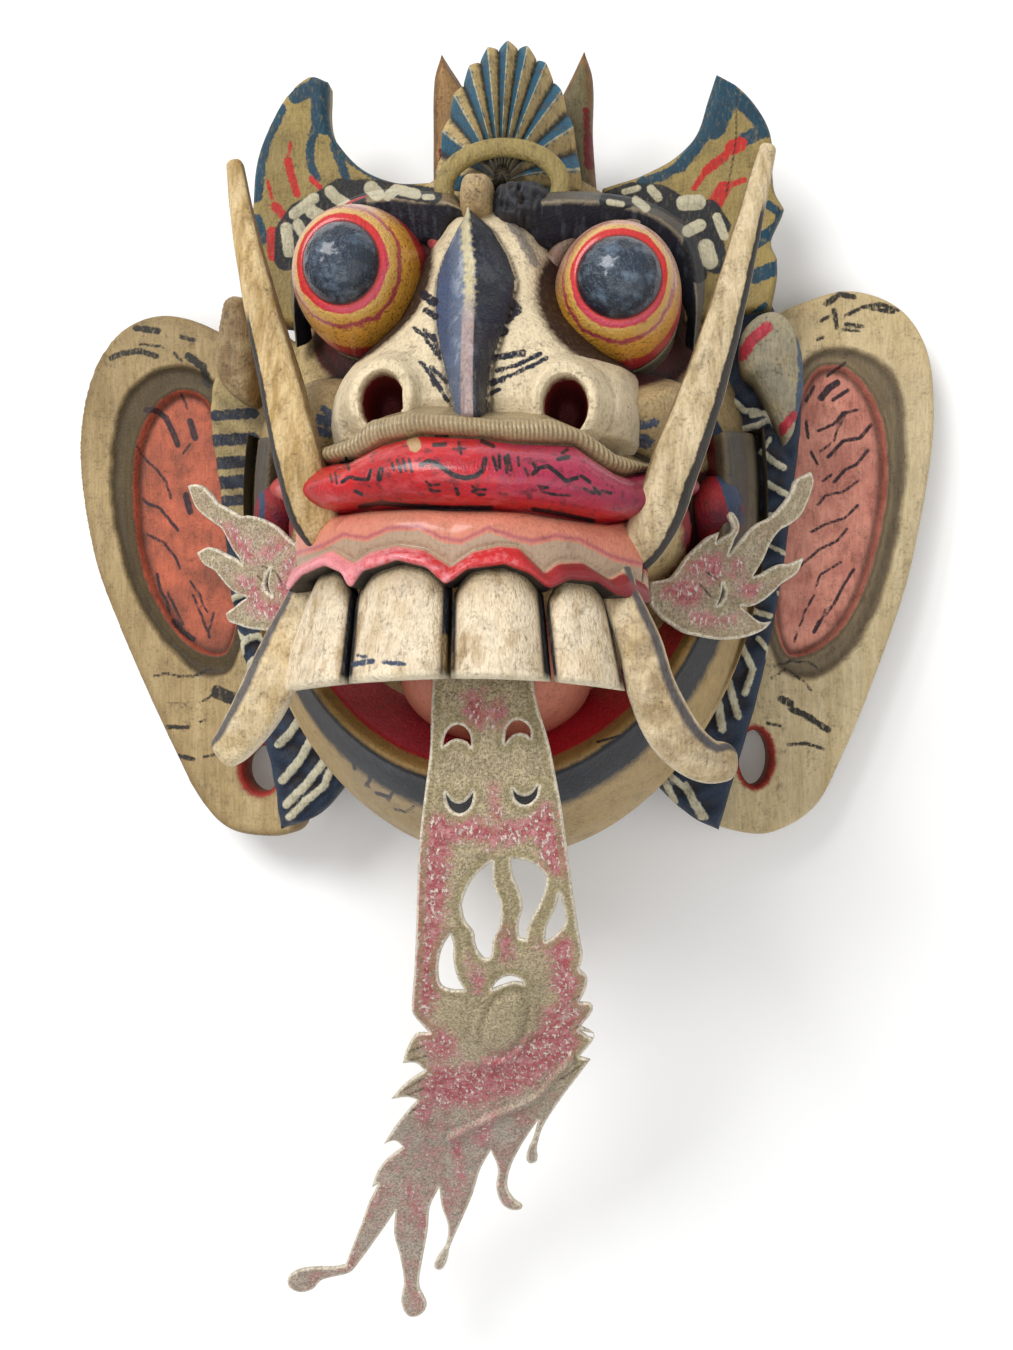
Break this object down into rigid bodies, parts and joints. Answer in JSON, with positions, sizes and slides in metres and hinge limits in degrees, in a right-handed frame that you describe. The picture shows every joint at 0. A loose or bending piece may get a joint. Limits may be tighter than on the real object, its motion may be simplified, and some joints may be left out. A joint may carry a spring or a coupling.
{
  "type": "rangda mask",
  "caption": "Carved and painted wooden demon mask with bulging eyes, curved tusks, broad ears, a crown fan and a long pierced hide tongue, lying on its back rim.",
  "frame": {"origin": "middle of the whole mask's underside, on the plane of the back rim", "axes": "+Z out of the face, +Y along the face towards the crown, +X to the viewer's right"},
  "size_m": [0.3214, 0.454, 0.1674],
  "materials": {
    "painted_wood": "worn satin paint",
    "ear_board": "worn satin paint",
    "tusk_wood": "worn matt paint",
    "painted_hide": "worn matt paint"
  },
  "bodies": {
    "root": {"mask_body": "painted_wood", "ear_left": "ear_board", "ear_right": "ear_board", "tusk_left": "tusk_wood", "tusk_right": "tusk_wood", "tongue": "painted_hide", "flame_left": "painted_hide", "flame_right": "painted_hide"}
  },
  "joints": []
}
